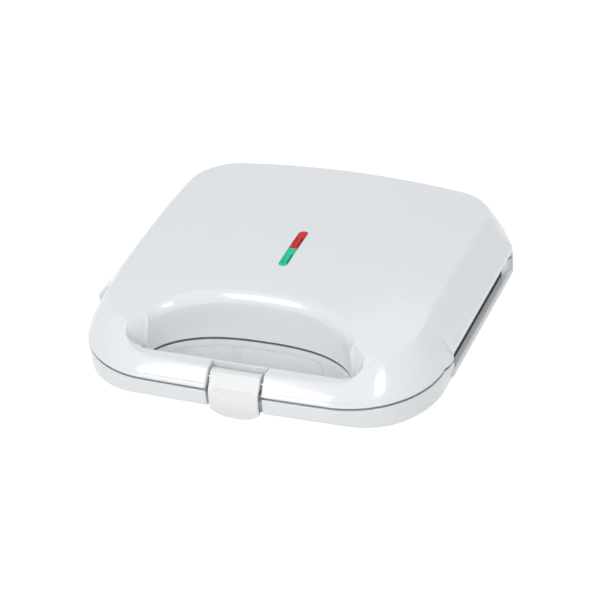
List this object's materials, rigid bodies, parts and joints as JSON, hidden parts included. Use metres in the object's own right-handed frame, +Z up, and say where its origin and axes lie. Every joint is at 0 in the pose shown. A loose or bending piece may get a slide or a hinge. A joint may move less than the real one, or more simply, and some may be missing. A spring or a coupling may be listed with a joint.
{
  "type": "donut maker",
  "caption": "Hinged two-plate donut maker with a hand opening behind its front bar, a swinging front latch, side windows and a two-colour lamp window.",
  "frame": {"origin": "on the table under the middle of the closed part's box", "axes": "+Z up, -Y towards the front bar and its latch, +Y towards the hinge, +X to the right seen from the front"},
  "size_m": [0.2288, 0.2377, 0.072],
  "materials": {
    "lid_plastic": "high-gloss white moulded plastic",
    "base_plastic": "white moulded plastic, semi-gloss",
    "latch_plastic": "warm white plastic, satin",
    "plate_coating": "black non-stick coating on die-cast aluminium",
    "red_lens": "clear red plastic",
    "green_lens": "clear green plastic",
    "heater_steel": "dull heat-darkened steel tube",
    "shield_sheet": "plain rolled sheet",
    "screw_steel": "zinc plated",
    "pin_steel": "ground steel",
    "ceramic": "unglazed ceramic",
    "foot_rubber": "matte moulded rubber",
    "lead_sleeve": "silicone sleeve",
    "lamp_glass": "small neon lamp",
    "holder_plastic": "heat resistant plastic"
  },
  "bodies": {
    "base": {"base_housing": "base_plastic", "lower_plate": "plate_coating", "lower_element": "heater_steel", "lower_element_ends": "ceramic", "lower_heat_shield": "shield_sheet", "lower_shield_screws": "screw_steel", "lower_plate_screws": "screw_steel", "lower_thermostat": "ceramic", "thermal_fuse": "ceramic", "terminal_block": "ceramic", "base_leads": "lead_sleeve", "cord_gland": "foot_rubber", "front_feet": "foot_rubber", "rear_feet": "foot_rubber", "hinge_pins": "pin_steel"},
    "lid": {"lid_housing": "lid_plastic", "upper_plate": "plate_coating", "upper_element": "heater_steel", "upper_element_ends": "ceramic", "upper_heat_shield": "shield_sheet", "upper_shield_screws": "screw_steel", "upper_plate_screws": "screw_steel", "upper_thermostat": "ceramic", "lamp_holder": "holder_plastic", "lamp_holder_screws": "screw_steel", "power_lens": "red_lens", "ready_lens": "green_lens", "power_lamp": "lamp_glass", "ready_lamp": "lamp_glass", "lamp_resistors": "ceramic", "lid_leads": "lead_sleeve", "latch_pin": "pin_steel"},
    "latch": {"latch": "latch_plastic"}
  },
  "joints": [
    {"name": "lid_hinge", "type": "hinge", "parent": "base", "child": "lid", "pos_m": [0, 0.11235, 0.036], "axis": [-1, 0, 0], "range_deg": [0, 100]},
    {"name": "latch_hinge", "type": "hinge", "parent": "lid", "child": "latch", "pos_m": [0, -0.11015, 0.0415], "axis": [-1, 0, 0], "range_deg": [0, 38]}
  ]
}
